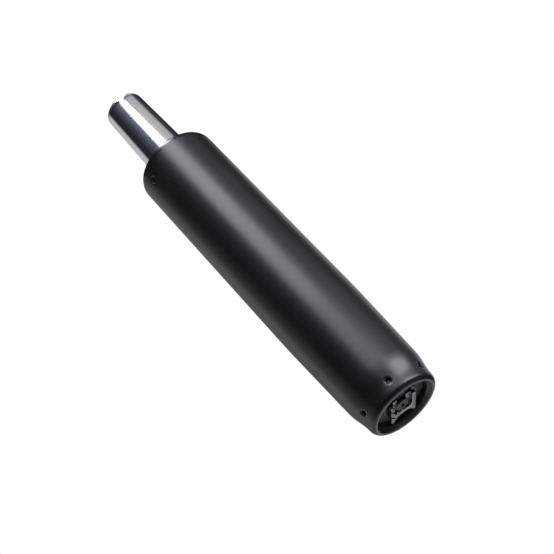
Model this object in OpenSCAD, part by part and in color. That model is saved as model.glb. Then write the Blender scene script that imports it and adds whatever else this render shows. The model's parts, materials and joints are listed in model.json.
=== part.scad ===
// Chair gas lift cylinder: a lockable gas spring that slides and swivels in a tapered column tube.
// Units are millimetres. The foot of the column tube lies on z = 0 and the lift axis is Z.

/* [Column tube] */
// Outer diameter of the straight column tube
tube_d = 50; // [48:0.5:54]
// Height of the column tube
tube_l = 216; // [190:1:260]
// Wall of the column tube
tube_wall = 2; // [1.6:0.1:2.4]
// Outer radius of the turned-in top shoulder
shoulder_r = 5; // [4:0.5:8]
// Diameter of the opening in the top shoulder
mouth_d = 33; // [32:0.5:36]
// Half angle of both standard tapers, in degrees
taper = 1.4378; // [1:0.01:1.8]
// Length of the taper that wedges into the chair base
base_cone_l = 50; // [40:1:60]
// Length of the swaged end below that taper
swage_l = 19; // [17:0.5:24]
// Half angle of the swaged end, in degrees
swage_angle = 8; // [6:0.5:9]
// Radius of the nose that turns into the foot
nose_r = 3.5; // [3.2:0.1:4]
// How far the foot plane cuts into the nose
foot_cut = 0.3; // [0.1:0.05:0.5]
// Diameter of the opening in the foot, inside its turned-in lip
lip_d = 32; // [30:0.2:32.4]
// Bevel inside that lip
lip_bevel = 2.4; // [1.5:0.1:2.6]

/* [Stakes] */
// Diameter of a lower punched dent where it opens on the tube
stake_d = 3.4; // [2.6:0.1:4]
// Depth of a lower dent
stake_depth = 1.4; // [0.8:0.1:1.5]
// How far a dent pushes out inside the tube
stake_in = 1; // [0.6:0.1:1.2]
// Number of dents that hold the base plate
stake_count = 6; // [3:1:8]
// Height of those dents above the foot
stake_z = 8; // [7.5:0.1:9.5]
// Turn of the first of those dents
stake_turn = 30; // [0:1:60]
// Number of dents that hold the guide bush
top_stake_count = 3; // [2:1:4]
// Diameter of those dents where they open on the tube
top_stake_d = 4.4; // [3:0.1:5]
// Depth of those dents
top_stake_depth = 1.1; // [0.8:0.1:1.5]
// Distance of those dents below the top of the tube
top_stake_drop = 13; // [11:0.5:16]
// Turn of the first of those dents
top_stake_turn = 222; // [0:1:360]

/* [Guide bush] */
// Length of the guide bush
guide_l = 116; // [90:1:125]
// Wall of its inner sleeve
guide_wall = 2.4; // [2:0.1:3]
// Height of the full land at its top
guide_top_l = 22; // [20:1:26]
// Height of the full land at its bottom
guide_foot_l = 10; // [6:1:16]
// Number of ribs between the two lands
guide_ribs = 8; // [4:1:12]
// Width of a rib
guide_rib_w = 2.5; // [1.5:0.1:4]

/* [Base plate] */
// Thickness of the base plate
plate_t = 5.4; // [5.2:0.1:6]
// Depth of the seat that the lower race sits in
race_seat = 0.8; // [0.4:0.1:1.2]

/* [Thrust bearing] */
// Outer diameter of the two races
race_d = 24; // [23:0.5:28]
// Thickness of a race
race_t = 2.4; // [2:0.1:3]
// Diameter of a ball
ball_d = 4.76; // [4:0.02:5]
// Number of balls
ball_count = 9; // [6:1:9]
// Depth of the ball groove in a race
groove_depth = 0.7; // [0.4:0.1:1]
// Thickness of the ball cage
cage_t = 1.6; // [1:0.1:2]

/* [Piston rod] */
// Diameter of the piston rod
rod_d = 10; // [9.4:0.1:11]
// Diameter of its lower spigot, through the bearing and base plate
spigot_d = 8; // [7:0.1:8.4]
// Height of the lower tip of the rod above the foot
rod_tip_z = 2; // [1.6:0.1:2.4]
// Diameter of the clip groove
clip_groove_d = 5.6; // [5:0.1:6.2]
// Diameter of the upper spigot, through the piston
piston_spigot_d = 7; // [6:0.1:8]

/* [End clip] */
// Width over both rails of the retaining clip
clip_w = 16.4; // [15:0.1:18]
// Width of a rail
clip_rail_w = 2.5; // [2:0.1:3.4]
// Distance of the web between the rails from the axis
clip_web_y = 4.4; // [4.2:0.1:5]
// Reach of the rails from the axis towards the mouth of the slot
clip_near_l = 6.4; // [6.2:0.1:8]
// Reach of the rails from the axis on the closed side
clip_far_l = 10.8; // [9.5:0.1:11.5]
// Height of the rails above the foot
clip_z = 1.2; // [1:0.1:1.3]
// Height of the rails below the tongue
clip_rail_h = 2.1; // [1.9:0.1:2.2]
// Thickness of the tongue that sits in the groove
clip_t = 1; // [0.8:0.05:1.05]
// Reach of the tongue from the axis towards the mouth of the slot
clip_tongue_l = 6; // [4:0.5:8]
// Radius of the arch cut into the closed side
clip_arch_r = 6.5; // [5.5:0.1:7]
// Distance of the arch's centre from the axis
clip_arch_y = 13.3; // [12.8:0.1:13.6]
// Turn of the clip on the rod
clip_turn = 12; // [0:0.5:90]
// Diameter of the washer between clip and base plate
end_washer_d = 22; // [19:0.5:26]
// Play of that washer under the base plate
end_play = 0.2; // [0.1:0.05:0.3]

/* [Bump stop] */
// Diameter of the rubber bump stop
bump_d = 24; // [22:0.5:27]
// Height of the bump stop
bump_h = 10; // [7:0.5:13]
// Thickness of the washer under it
bump_washer_t = 1.5; // [1:0.1:2.5]

/* [Pressure tube] */
// Outer diameter of the pressure tube
spindle_d = 28; // [27:0.1:28.6]
// Wall of the pressure tube
spindle_wall = 1.5; // [1.2:0.1:1.8]
// How far the pressure tube stands out of the column at rest
spindle_out = 59; // [55:1:70]
// Length of the taper that wedges into the seat mechanism
seat_cone_l = 58; // [50:1:65]
// Radius of its upper edge
tip_r = 1.6; // [1:0.1:2]
// Thickness of the rolled lips at both ends
lip_t = 1.5; // [1.2:0.1:2]
// Diameter of the opening in the upper lip
tip_hole_d = 15; // [13:0.5:17]
// Lift travel
stroke = 100; // [60:1:110]

/* [Lower seal pack] */
// Thickness of the retainer washer
retainer_t = 2; // [1.5:0.1:3]
// Height of the rod seal
seal_h = 6; // [4:0.5:8]
// Height of the rod guide
rod_guide_h = 14; // [12:0.5:18]
// Cross-section of the O-rings
o_ring_d = 2; // [1.6:0.1:2.2]

/* [Piston] */
// Inner diameter of the inner cylinder
cyl_d = 20; // [19.4:0.1:20.6]
// Wall of the inner cylinder
cyl_wall = 1; // [0.8:0.1:1.1]
// Length of the piston
piston_l = 14; // [12:0.5:18]
// Height of the piston nut
nut_h = 4; // [3:0.5:6]
// Outer diameter of the stroke sleeve under the piston
sleeve_d = 16; // [14:0.5:18]

/* [Valve] */
// Height of the valve housing
housing_l = 36; // [32:1:42]
// Depth of its spigot in the inner cylinder
housing_spigot_l = 6; // [5:0.5:8]
// Thickness of the top cap
cap_t = 1.5; // [1:0.1:2.5]
// Diameter of the valve stem
stem_d = 5; // [4:0.1:5.4]
// Diameter of the head of the stem
head_d = 7.4; // [6.6:0.1:7.8]
// Diameter of the chamber round that head
chamber_d = 8.6; // [8.4:0.1:9.4]
// Diameter of the release pin
pin_d = 8; // [7:0.1:9]
// Height that the release pin stands above the pressure tube
pin_out = 6; // [4:0.5:9]
// Travel of the release pin
pin_travel = 3; // [1.5:0.1:3.2]

/* [Clearances] */
// Gap between pieces that are fixed to each other
fit = 0.05; // [0.03:0.01:0.08]
// Radial gap of a running fit
run = 0.08; // [0.05:0.01:0.1]
// Gap at a stop where one body rests on another
rest_gap = 0.2; // [0.1:0.05:0.3]
// Radial gap round a piece that doesn't guide
loose = 0.3; // [0.2:0.05:0.4]

/* [Hidden] */
$fn = 96;
tube_r = tube_d / 2;
cone_z = swage_l + base_cone_l;
swage_top_r = tube_r - base_cone_l * tan(taper);
corner_r = swage_top_r - swage_l * tan(swage_angle);
nose_z = nose_r - foot_cut;
nose_c = swage_r(nose_z, nose_r);
top_stake_z = tube_l - top_stake_drop;
slot_h = stake_d + 1;
top_slot_h = top_stake_d + 1;
bore_r = tube_r - tube_wall;
mouth_r = mouth_d / 2;

plate_z = stake_z - plate_t / 2;
plate_top = plate_z + plate_t;
step_z = plate_z - fit;
spigot_r = spigot_d / 2;
rod_r = rod_d / 2;
clip_groove_z = clip_z + clip_rail_h;
clip_top = clip_groove_z + clip_t;
end_washer_z = clip_top + fit;
end_washer_t = plate_z - end_play - end_washer_z;

race_r = race_d / 2;
race_bore_r = spigot_r + fit;
pitch_r = (race_r + race_bore_r) / 2;
ball_r = ball_d / 2;
groove_r = ball_r + run;
lower_race_z = plate_top - race_seat + fit;
ball_z = lower_race_z + race_t - groove_depth + groove_r;
upper_race_z = ball_z + groove_r - groove_depth;
upper_race_top = upper_race_z + race_t;
shoulder_z = upper_race_top + fit;
bump_washer_z = shoulder_z;
bump_z = bump_washer_z + bump_washer_t + fit;
bump_top = bump_z + bump_h;

spindle_r = spindle_d / 2;
spindle_z = bump_top + rest_gap;
spindle_top = tube_l + spindle_out;
seat_z = spindle_top - seat_cone_l;
spindle_bore_r = spindle_r - spindle_wall;
guide_z = tube_l - tube_wall - fit - guide_l;
guide_top = tube_l - tube_wall - fit;

retainer_z = spindle_z + lip_t + fit;
seal_z = retainer_z + retainer_t + fit;
rod_guide_z = seal_z + seal_h + fit;
rod_guide_top = rod_guide_z + rod_guide_h;
cyl_r = cyl_d / 2;
cyl_step = 5;
cyl_z = rod_guide_top - cyl_step + fit;
o_ring_r = o_ring_d / 2;
o_seat = o_ring_d + 0.4;

cap_top = spindle_top - lip_t - fit;
cap_z = cap_top - cap_t;
housing_top = cap_z - fit;
housing_z = housing_top - housing_l;
cyl_top = housing_z + housing_spigot_l;
cap_r = seat_r(cap_top, spindle_wall) - fit;
port_z = cyl_top + 4;
port_top = cyl_top + 8;
housing_ring_z = housing_top - 12;

stem_r = stem_d / 2;
chamber_r = chamber_d / 2;
head_z = housing_z + 1;
head_t = 2.4;
stem_seal_z = head_z + head_t + rest_gap;
stem_seal_t = 2;
chamber_top = stem_seal_z + stem_seal_t + fit;
pin_r = pin_d / 2;
pin_flange_r = pin_r + 1;
pin_flange_t = 4;
pin_flange_top = cap_z - rest_gap;
pin_z = pin_flange_top - pin_flange_t;
pin_chamber_z = pin_z - pin_travel - 1;

piston_top = housing_z - pin_travel - 1 - nut_h;
piston_z = piston_top - piston_l;
piston_r = cyl_r - run;
sleeve_z = rod_guide_top + stroke + rest_gap;
piston_seal_z = piston_z + piston_l * 0.7;
piston_ring_z = piston_z + piston_l * 0.25;

// Radius of the swaged end at a height, taken in by an inset
function swage_r(z, inset) = corner_r + z * tan(swage_angle) - inset / cos(swage_angle);

// Radius of the base taper at a height, taken in by an inset
function cone_r(z, inset) = tube_r + (z - cone_z) * tan(taper) - inset / cos(taper);

// Height where the inset swage meets the inset taper
function swage_end(inset) = (cone_r(0, inset) - swage_r(0, inset)) / (tan(swage_angle) - tan(taper));

// Height where the inset taper meets the inset straight tube
function cone_end(inset) = cone_z + (inset / cos(taper) - inset) / tan(taper);

// Radius of the seat taper at a height, taken in by an inset
function seat_r(z, inset) = spindle_r - (z - seat_z) * tan(taper) - inset / cos(taper);

// Height where the inset seat taper leaves the inset pressure tube
function seat_start(inset) = seat_z - (inset / cos(taper) - inset) / tan(taper);

// A turned ring between two radii
module ring(inner_r, outer_r, z, h) {
    translate([0, 0, z])
        rotate_extrude()
            translate([inner_r, 0])
                square([outer_r - inner_r, h]);
}

// Copies a piece round the axis
module around(count, turn) {
    for (i = [0 : count - 1])
        rotate([0, 0, turn + i * 360 / count])
            children();
}

// A ring of round section
module round_ring(centre_r, section_r, z) {
    translate([0, 0, z])
        rotate_extrude()
            translate([centre_r, 0])
                circle(section_r);
}

// Half section of the column tube as if solid, taken in by an inset
module tube_fill(inset) {
    nose = nose_r - inset;
    polygon([
        [0, nose_z],
        [nose_c + nose * cos(swage_angle), nose_z - nose * sin(swage_angle)],
        [swage_r(swage_end(inset), inset), swage_end(inset)],
        [tube_r - inset, cone_end(inset)],
        [tube_r - inset, tube_l - shoulder_r],
        [tube_r - shoulder_r, tube_l - inset],
        [0, tube_l - inset]
    ]);
    intersection() {
        translate([nose_c, nose_z])
            circle(nose);
        square([tube_r, tube_l]);
    }
    translate([0, max(0, nose_z - nose)])
        square([nose_c, min(nose_z, nose)]);
    translate([tube_r - shoulder_r, tube_l - shoulder_r])
        circle(shoulder_r - inset);
}

// The cut of one punched dent of a width and depth, on the outside of a tube of the given radius
module dent(surface_r, z, wide, deep) {
    ball_r = (wide * wide / 4 + deep * deep) / (2 * deep);
    translate([surface_r + ball_r - deep, 0, z])
        sphere(ball_r);
}

// The metal that one dent of a width pushes out inside
module dent_back(inner_r, z, wide) {
    translate([inner_r - stake_in, 0, z])
        rotate([0, 90, 0])
            cylinder(h = stake_in + tube_wall * 0.4, r1 = wide / 2 - 0.5, r2 = wide / 2);
}

module outer_tube() {
    color([0.1, 0.1, 0.11])
        difference() {
            union() {
                rotate_extrude()
                    difference() {
                        tube_fill(0);
                        intersection() {
                            tube_fill(tube_wall);
                            translate([0, step_z])
                                square([tube_d, tube_l]);
                        }
                        square([lip_d / 2, step_z + 1]);
                        polygon([
                            [lip_d / 2 - 1, -1],
                            [lip_d / 2 + lip_bevel + 1, -1],
                            [lip_d / 2 - 1, lip_bevel + 1]
                        ]);
                        translate([0, tube_l - tube_wall - 1])
                            square([mouth_r, tube_wall + 2]);
                    }
                around(stake_count, stake_turn)
                    dent_back(swage_r(stake_z, tube_wall), stake_z, stake_d);
                around(top_stake_count, top_stake_turn)
                    dent_back(bore_r, top_stake_z, top_stake_d);
            }
            around(stake_count, stake_turn)
                dent(swage_r(stake_z, 0), stake_z, stake_d, stake_depth);
            around(top_stake_count, top_stake_turn)
                dent(tube_r, top_stake_z, top_stake_d, top_stake_depth);
        }
}

module guide_bush() {
    sleeve_r = spindle_r + run + guide_wall;
    land_r = bore_r - fit;
    corner = shoulder_r - tube_wall + fit;
    color([0.16, 0.16, 0.17])
        union() {
            rotate_extrude()
                difference() {
                    union() {
                        translate([spindle_r + run, guide_z])
                            square([guide_wall, guide_l]);
                        translate([spindle_r + run, guide_z])
                            square([land_r - spindle_r - run, guide_foot_l]);
                        polygon([
                            [spindle_r + run, guide_top - guide_top_l],
                            [land_r, guide_top - guide_top_l],
                            [land_r, guide_top - corner],
                            [land_r - corner, guide_top],
                            [mouth_r - fit, guide_top],
                            [mouth_r - fit, tube_l],
                            [spindle_r + run, tube_l]
                        ]);
                    }
                    translate([land_r - stake_in - 0.2, top_stake_z - top_slot_h / 2])
                        square([stake_in + 1, top_slot_h]);
                }
            around(guide_ribs, 0)
                translate([sleeve_r - 1, -guide_rib_w / 2, guide_z + guide_foot_l - 1])
                    cube([land_r - 0.5 - sleeve_r + 1, guide_rib_w, guide_l - guide_foot_l - guide_top_l + 2]);
        }
}

module base_plate() {
    groove_in = swage_r(stake_z, tube_wall) - stake_in - 0.2;
    color([0.12, 0.12, 0.13])
        rotate_extrude()
            difference() {
                polygon([
                    [spigot_r + run, plate_z],
                    [swage_r(plate_z, tube_wall + fit), plate_z],
                    [swage_r(plate_top, tube_wall + fit), plate_top],
                    [spigot_r + run, plate_top]
                ]);
                translate([groove_in, stake_z - slot_h / 2])
                    square([stake_in + 2, slot_h]);
                translate([0, plate_top - race_seat])
                    square([race_r + fit, race_seat + 1]);
            }
}

// Half section of a race without its ball groove
module race_section(z) {
    translate([race_bore_r, z])
        square([race_r - race_bore_r, race_t]);
}

module lower_race() {
    color([0.72, 0.73, 0.75])
        rotate_extrude()
            difference() {
                translate([run, 0])
                    race_section(lower_race_z);
                translate([pitch_r, ball_z])
                    circle(groove_r);
                translate([race_r, lower_race_z - 1])
                    square([run + 1, race_t + 2]);
            }
}

module upper_race() {
    color([0.72, 0.73, 0.75])
        rotate_extrude()
            difference() {
                race_section(upper_race_z);
                translate([pitch_r, ball_z])
                    circle(groove_r);
            }
}

module ball_cage() {
    color([0.78, 0.68, 0.4])
        difference() {
            ring(race_bore_r + loose, race_r - loose, ball_z - cage_t / 2, cage_t);
            around(ball_count, 0)
                translate([pitch_r, 0, ball_z])
                    sphere(ball_r + fit);
        }
}

module bearing_balls() {
    color([0.82, 0.83, 0.85])
        around(ball_count, 0)
            translate([pitch_r, 0, ball_z])
                sphere(ball_r);
}

module piston_rod() {
    tip_chamfer = 0.5;
    color([0.8, 0.81, 0.83])
        rotate_extrude()
            polygon([
                [0, rod_tip_z],
                [spigot_r - tip_chamfer, rod_tip_z],
                [spigot_r, rod_tip_z + tip_chamfer],
                [spigot_r, clip_groove_z - fit],
                [clip_groove_d / 2, clip_groove_z - fit],
                [clip_groove_d / 2, clip_top + fit],
                [spigot_r, clip_top + fit],
                [spigot_r, shoulder_z],
                [rod_r, shoulder_z],
                [rod_r, piston_z],
                [piston_spigot_d / 2, piston_z],
                [piston_spigot_d / 2, piston_top + nut_h - tip_chamfer],
                [piston_spigot_d / 2 - tip_chamfer, piston_top + nut_h],
                [0, piston_top + nut_h]
            ]);
}

module bump_washer() {
    color([0.7, 0.71, 0.72])
        ring(rod_r + fit, bump_d / 2, bump_washer_z, bump_washer_t);
}

module bump_stop() {
    waist = 1.2;
    color([0.14, 0.14, 0.14])
        rotate_extrude()
            difference() {
                translate([rod_r + fit, bump_z])
                    square([bump_d / 2 - rod_r - fit, bump_h]);
                translate([bump_d / 2 + waist, bump_z + bump_h / 2])
                    circle(bump_h * 0.28);
            }
}

module end_washer() {
    color([0.3, 0.3, 0.32])
        ring(spigot_r + fit, end_washer_d / 2, end_washer_z, end_washer_t);
}

module retaining_clip() {
    slot_r = clip_groove_d / 2 + fit;
    open_r = clip_w / 2 - clip_rail_w;
    corner = open_r / 2;
    span = clip_near_l + clip_far_l;
    cut_z = clip_z - 1;
    cut_h = clip_rail_h + clip_t + 2;
    color([0.75, 0.76, 0.78])
        rotate([0, 0, clip_turn])
            difference() {
                union() {
                    difference() {
                        translate([-clip_w / 2, -clip_near_l, clip_z])
                            cube([clip_w, span, clip_rail_h + clip_t / 2]);
                        translate([-open_r, -span, cut_z])
                            cube([2 * open_r, span + clip_web_y - corner, cut_h]);
                        translate([corner - open_r, -span, cut_z])
                            cube([2 * (open_r - corner), span + clip_web_y, cut_h]);
                        for (side = [-1, 1])
                            translate([side * (open_r - corner), clip_web_y - corner, cut_z])
                                cylinder(h = cut_h, r = corner);
                    }
                    translate([clip_t - clip_w / 2, -clip_tongue_l, clip_groove_z])
                        cube([clip_w - 2 * clip_t, clip_tongue_l + clip_web_y + clip_t, clip_t]);
                }
                translate([0, 0, cut_z])
                    cylinder(h = cut_h, r = slot_r);
                translate([-slot_r, -span, cut_z])
                    cube([2 * slot_r, span, cut_h]);
                translate([0, clip_arch_y, cut_z])
                    cylinder(h = cut_h, r = clip_arch_r);
            }
}

module piston() {
    color([0.66, 0.67, 0.69])
        rotate_extrude()
            difference() {
                translate([piston_spigot_d / 2 + fit, piston_z])
                    square([piston_r - piston_spigot_d / 2 - fit, piston_l]);
                translate([piston_r - o_ring_d, piston_seal_z - o_seat / 2])
                    square([o_ring_d + 1, o_seat]);
                translate([piston_r - o_ring_r, piston_ring_z - o_seat / 2])
                    square([o_ring_d + 1, o_seat]);
            }
}

module piston_seal() {
    color([0.1, 0.1, 0.1])
        round_ring(piston_r - o_ring_r + fit, o_ring_r - fit / 2, piston_seal_z);
}

module piston_ring() {
    color([0.45, 0.32, 0.2])
        ring(piston_r - o_ring_r + fit, piston_r + fit / 2, piston_ring_z - o_seat / 2 + fit, o_seat - 2 * fit);
}

module piston_nut() {
    nut_r = piston_r * 0.8;
    color([0.7, 0.71, 0.73])
        translate([0, 0, piston_top + fit])
            difference() {
                cylinder(h = nut_h - fit, r = nut_r, $fn = 6);
                translate([0, 0, -1])
                    cylinder(h = nut_h + 2, r = piston_spigot_d / 2 + fit);
            }
}

module stroke_sleeve() {
    color([0.85, 0.84, 0.8])
        ring(rod_r + fit, sleeve_d / 2, sleeve_z, piston_z - fit - sleeve_z);
}

module pressure_tube() {
    foot_r = lip_t * 0.8;
    color([0.85, 0.86, 0.88])
        rotate_extrude()
            difference() {
                union() {
                    polygon([
                        [0, spindle_z],
                        [spindle_r - foot_r, spindle_z],
                        [spindle_r, spindle_z + foot_r],
                        [spindle_r, seat_z],
                        [seat_r(spindle_top - tip_r, 0), spindle_top - tip_r],
                        [seat_r(spindle_top - tip_r, tip_r), spindle_top],
                        [0, spindle_top]
                    ]);
                    translate([spindle_r - foot_r, spindle_z + foot_r])
                        circle(foot_r);
                    translate([seat_r(spindle_top - tip_r, tip_r), spindle_top - tip_r])
                        circle(tip_r);
                }
                polygon([
                    [0, spindle_z + lip_t],
                    [spindle_bore_r, spindle_z + lip_t],
                    [spindle_bore_r, seat_start(spindle_wall)],
                    [seat_r(spindle_top - lip_t, spindle_wall), spindle_top - lip_t],
                    [0, spindle_top - lip_t]
                ]);
                translate([0, spindle_z - 1])
                    square([rod_r + 3, lip_t + 2]);
                translate([0, spindle_top - lip_t - 1])
                    square([tip_hole_d / 2, lip_t + 2]);
            }
}

module retainer_washer() {
    color([0.6, 0.61, 0.63])
        ring(rod_r + loose, spindle_bore_r - fit, retainer_z, retainer_t);
}

module rod_seal() {
    lip_groove = 1;
    color([0.12, 0.12, 0.12])
        rotate_extrude()
            difference() {
                translate([rod_r + run, seal_z])
                    square([spindle_bore_r - fit - rod_r - run, seal_h]);
                translate([(rod_r + spindle_bore_r) / 2, seal_z + seal_h])
                    circle(lip_groove);
            }
}

module rod_guide() {
    color([0.88, 0.87, 0.82])
        rotate_extrude()
            difference() {
                polygon([
                    [rod_r + run, rod_guide_z],
                    [spindle_bore_r - fit, rod_guide_z],
                    [spindle_bore_r - fit, rod_guide_top - cyl_step],
                    [cyl_r - fit, rod_guide_top - cyl_step],
                    [cyl_r - fit, rod_guide_top],
                    [rod_r + run, rod_guide_top]
                ]);
                translate([spindle_bore_r - fit - o_ring_d, rod_guide_z + 4 - o_seat / 2])
                    square([o_ring_d + 1, o_seat]);
            }
}

module guide_o_ring() {
    color([0.1, 0.1, 0.1])
        round_ring(spindle_bore_r - fit - o_ring_r, o_ring_r - fit, rod_guide_z + 4);
}

module inner_cylinder() {
    color([0.7, 0.71, 0.74])
        ring(cyl_r, cyl_r + cyl_wall, cyl_z, cyl_top - fit - cyl_z);
}

module valve_housing() {
    ring_r = seat_r(housing_ring_z, spindle_wall + fit);
    spigot_ring_z = housing_z + housing_spigot_l / 2;
    color([0.78, 0.66, 0.38])
        difference() {
            rotate_extrude()
                difference() {
                    polygon([
                        [stem_r + run, housing_z],
                        [cyl_r - fit, housing_z],
                        [cyl_r - fit, cyl_top],
                        [cyl_r + cyl_wall, cyl_top],
                        [cyl_r + cyl_wall, port_top],
                        [seat_r(port_top, spindle_wall + fit), port_top],
                        [seat_r(housing_top, spindle_wall + fit), housing_top],
                        [stem_r + run, housing_top]
                    ]);
                    square([chamber_r, chamber_top]);
                    translate([0, pin_chamber_z])
                        square([pin_flange_r + run, housing_top - pin_chamber_z + 1]);
                    translate([ring_r - o_ring_d, housing_ring_z - o_seat / 2])
                        square([o_ring_d + 1, o_seat]);
                    translate([cyl_r - fit - o_ring_d, spigot_ring_z - o_seat / 2])
                        square([o_ring_d + 1, o_seat]);
                }
            for (turn = [0, 90])
                rotate([90, 0, turn])
                    translate([0, port_z, -cyl_d])
                        cylinder(h = cyl_d * 2, d = 2);
        }
}

module housing_o_ring() {
    color([0.1, 0.1, 0.1])
        round_ring(seat_r(housing_ring_z, spindle_wall + fit) - o_ring_r, o_ring_r - fit, housing_ring_z);
}

module spigot_o_ring() {
    color([0.1, 0.1, 0.1])
        round_ring(cyl_r - fit - o_ring_r, o_ring_r - fit, housing_z + housing_spigot_l / 2);
}

module stem_seal() {
    color([0.1, 0.1, 0.1])
        ring(stem_r + run, chamber_r - fit, stem_seal_z, stem_seal_t);
}

module top_cap() {
    color([0.32, 0.32, 0.34])
        ring(pin_r + run, cap_r, cap_z, cap_t);
}

module release_pin() {
    crown = 0.8;
    pin_top = spindle_top + pin_out;
    color([0.76, 0.77, 0.79])
        rotate_extrude()
            polygon([
                [0, pin_z],
                [pin_flange_r, pin_z],
                [pin_flange_r, pin_flange_top],
                [pin_r, pin_flange_top],
                [pin_r, pin_top - crown],
                [pin_r - crown, pin_top],
                [0, pin_top]
            ]);
}

module valve_stem() {
    neck_r = stem_r - 0.8;
    color([0.72, 0.72, 0.74])
        rotate_extrude()
            polygon([
                [0, head_z],
                [head_d / 2, head_z],
                [head_d / 2, head_z + head_t],
                [stem_r, head_z + head_t],
                [stem_r, port_z - 3],
                [neck_r, port_z - 2],
                [neck_r, port_z + 2],
                [stem_r, port_z + 3],
                [stem_r, pin_z - fit],
                [0, pin_z - fit]
            ]);
}

outer_tube();
guide_bush();
base_plate();
lower_race();
ball_cage();
bearing_balls();
piston_rod();
upper_race();
bump_washer();
bump_stop();
end_washer();
retaining_clip();
piston();
piston_seal();
piston_ring();
piston_nut();
stroke_sleeve();
pressure_tube();
retainer_washer();
rod_seal();
rod_guide();
guide_o_ring();
inner_cylinder();
valve_housing();
housing_o_ring();
spigot_o_ring();
stem_seal();
top_cap();
release_pin();
valve_stem();
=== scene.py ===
"""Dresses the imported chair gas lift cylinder: finer meshes, finishes and a small photo studio."""

import json
import logging
import math
from dataclasses import dataclass, replace
from enum import Enum
from typing import Any, Callable, Mapping, Optional, Sequence, Union

import bmesh
import bpy
from mathutils import Matrix, Vector


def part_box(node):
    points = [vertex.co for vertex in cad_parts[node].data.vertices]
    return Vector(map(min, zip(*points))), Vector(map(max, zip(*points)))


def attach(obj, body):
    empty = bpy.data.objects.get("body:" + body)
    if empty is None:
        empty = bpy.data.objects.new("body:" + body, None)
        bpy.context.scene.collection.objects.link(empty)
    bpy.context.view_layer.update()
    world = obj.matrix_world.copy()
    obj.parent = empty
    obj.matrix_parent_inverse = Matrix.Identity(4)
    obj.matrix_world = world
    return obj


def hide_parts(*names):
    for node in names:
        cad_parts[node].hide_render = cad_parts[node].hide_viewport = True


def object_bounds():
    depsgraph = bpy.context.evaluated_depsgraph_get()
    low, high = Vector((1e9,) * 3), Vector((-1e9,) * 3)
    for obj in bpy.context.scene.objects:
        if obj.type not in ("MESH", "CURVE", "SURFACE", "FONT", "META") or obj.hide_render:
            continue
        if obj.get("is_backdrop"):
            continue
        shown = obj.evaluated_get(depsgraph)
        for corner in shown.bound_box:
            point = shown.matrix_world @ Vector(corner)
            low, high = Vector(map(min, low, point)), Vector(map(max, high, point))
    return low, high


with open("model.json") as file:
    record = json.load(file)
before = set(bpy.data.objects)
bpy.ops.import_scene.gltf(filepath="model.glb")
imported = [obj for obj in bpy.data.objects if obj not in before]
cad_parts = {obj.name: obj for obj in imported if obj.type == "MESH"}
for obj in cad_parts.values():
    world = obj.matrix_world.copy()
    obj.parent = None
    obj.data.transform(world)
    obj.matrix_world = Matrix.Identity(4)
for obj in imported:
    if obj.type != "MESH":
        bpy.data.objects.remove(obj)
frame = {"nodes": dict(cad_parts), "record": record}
CAD_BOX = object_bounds()
LOG = logging.getLogger("gas_lift")
MM = 0.001
ORIGIN = (0.0, 0.0, 0.0)
UP = (0.0, 0.0, 1.0)
# Points nearer than this are one point
MERGE = 0.001 * MM
# Angle in degrees above which an edge stays sharp
CREASE = 35.0
Colour = tuple[float, float, float]
Point = tuple[float, float, float]
Pair = tuple[float, float]


class Body(str, Enum):
    """The moving groups that dressed pieces ride on."""

    COLUMN = "column"
    ROD = "rod"
    CARTRIDGE = "cartridge"
    RELEASE = "release"


@dataclass(frozen=True)
class Grain:
    """A layer of noise in a finish.

    Attributes:
        per_mm: spots per millimetre.
        detail: octaves of finer noise.
        stretch: factor on the number of spots along the lift axis.
        rough: how much the layer changes the roughness.
        deep: depth of its bumps, in metres.
        strength: strength of its bumps.
        blend: part of its range over which it comes in.
    """

    per_mm: float
    detail: float = 3.0
    stretch: float = 1.0
    rough: float = 0.0
    deep: float = 0.0
    strength: float = 0.0
    blend: Pair = (0.3, 0.7)

    def share(self, noise: "Wire") -> "Wire":
        """How much of the layer shows, from 0 to 1."""
        return noise.ramp(*self.blend)

    def uneven(self, noise: "Wire") -> "Wire":
        """Change of the roughness, which is none at the middle of the noise."""
        return self.rough * (noise - 0.5)


class Wire:
    """A shader socket that takes part in Python sums."""

    def __init__(self, graph: "Graph", socket: bpy.types.NodeSocket) -> None:
        """Keeps the graph and one of its sockets."""
        self.graph = graph
        self.socket = socket

    def _math(self, operation: str, other: "Term", reflected: bool = False) -> "Wire":
        """Adds a Math node.

        Args:
            operation: name of the Math node's operation.
            other: the second number or wire.
            reflected: whether the other comes first.

        Returns:
            The wire of the result.
        """
        first, second = (other, self) if reflected else (self, other)
        return self.graph.node("ShaderNodeMath", {"operation": operation}, {0: first, 1: second})

    def __add__(self, other: "Term") -> "Wire":
        """Sum."""
        return self._math("ADD", other)

    __radd__ = __add__

    def __sub__(self, other: "Term") -> "Wire":
        """Difference."""
        return self._math("SUBTRACT", other)

    def __rsub__(self, other: "Term") -> "Wire":
        """Difference with this wire last."""
        return self._math("SUBTRACT", other, reflected=True)

    def __mul__(self, other: "Term") -> "Wire":
        """Product."""
        return self._math("MULTIPLY", other)

    __rmul__ = __mul__

    def larger(self, other: "Term") -> "Wire":
        """The larger of two values."""
        return self._math("MAXIMUM", other)

    def size(self) -> "Wire":
        """The value without its sign."""
        return self._math("ABSOLUTE", 0.0)

    def ramp(self, low: float, high: float) -> "Wire":
        """Smooth step.

        Args:
            low: value at which the step begins, which may be above high.
            high: value at which the step ends.

        Returns:
            A wire from 0 at low to 1 at high.
        """
        return self.graph.node(
            "ShaderNodeMapRange",
            {"interpolation_type": "SMOOTHSTEP"},
            {"Value": self, "From Min": low, "From Max": high, "To Min": 0.0, "To Max": 1.0},
        )


Term = Union[Wire, float]
Settings = Mapping[str, Any]
Inputs = Mapping[Union[str, int], Any]


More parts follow.
